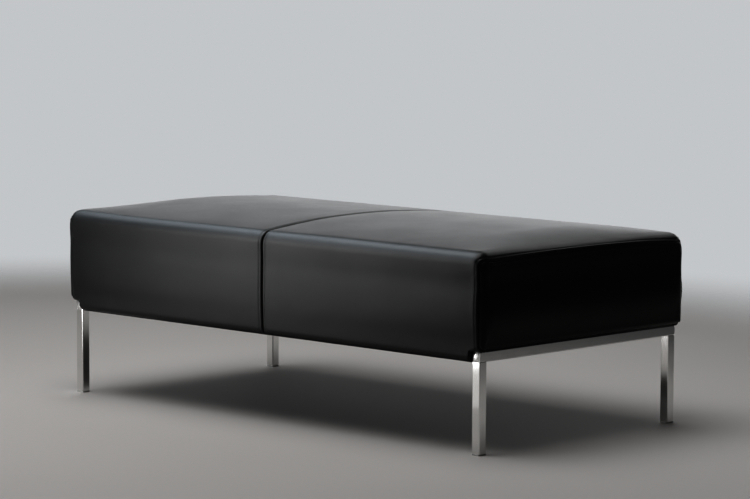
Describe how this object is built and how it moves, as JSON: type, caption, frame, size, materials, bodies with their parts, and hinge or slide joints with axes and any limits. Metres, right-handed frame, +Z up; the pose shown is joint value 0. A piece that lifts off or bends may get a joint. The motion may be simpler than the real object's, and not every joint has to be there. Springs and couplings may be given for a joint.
{
  "type": "upholstered bench",
  "caption": "Backless bench with a crowned, leather-covered padded body, sewn with a centre seam and end panels, carried on two end frames of polished square tube.",
  "frame": {"origin": "on the floor, under the middle of the bench", "axes": "+X along the bench's length, +Y across it, +Z up"},
  "size_m": [1.2, 0.6194, 0.41],
  "materials": {
    "polished_tube": "polished",
    "black_leather": "satin",
    "carcass_timber": "matte",
    "deck_plywood": "matte",
    "foam": "matte",
    "dust_cloth": "matte",
    "glide_plastic": "matte",
    "plated_steel": "satin"
  },
  "bodies": {
    "root": {"left_front_leg": "polished_tube", "left_back_leg": "polished_tube", "left_frame_rail": "polished_tube", "right_front_leg": "polished_tube", "right_back_leg": "polished_tube", "right_frame_rail": "polished_tube", "left_front_cap": "polished_tube", "left_back_cap": "polished_tube", "right_front_cap": "polished_tube", "right_back_cap": "polished_tube", "left_front_glide": "glide_plastic", "left_back_glide": "glide_plastic", "right_front_glide": "glide_plastic", "right_back_glide": "glide_plastic", "frame_bolts": "plated_steel", "bolt_washers": "plated_steel", "threaded_inserts": "plated_steel", "wood_screws": "plated_steel", "front_rail": "carcass_timber", "back_rail": "carcass_timber", "left_end_rail": "carcass_timber", "right_end_rail": "carcass_timber", "centre_rail": "carcass_timber", "left_bearer": "carcass_timber", "right_bearer": "carcass_timber", "left_front_corner_block": "carcass_timber", "left_back_corner_block": "carcass_timber", "right_front_corner_block": "carcass_timber", "right_back_corner_block": "carcass_timber", "seat_deck": "deck_plywood", "seat_foam": "foam", "front_foam": "foam", "back_foam": "foam", "left_foam": "foam", "right_foam": "foam", "left_cover": "black_leather", "right_cover": "black_leather", "left_end_panel": "black_leather", "right_end_panel": "black_leather", "dust_cover": "dust_cloth"}
  },
  "joints": []
}
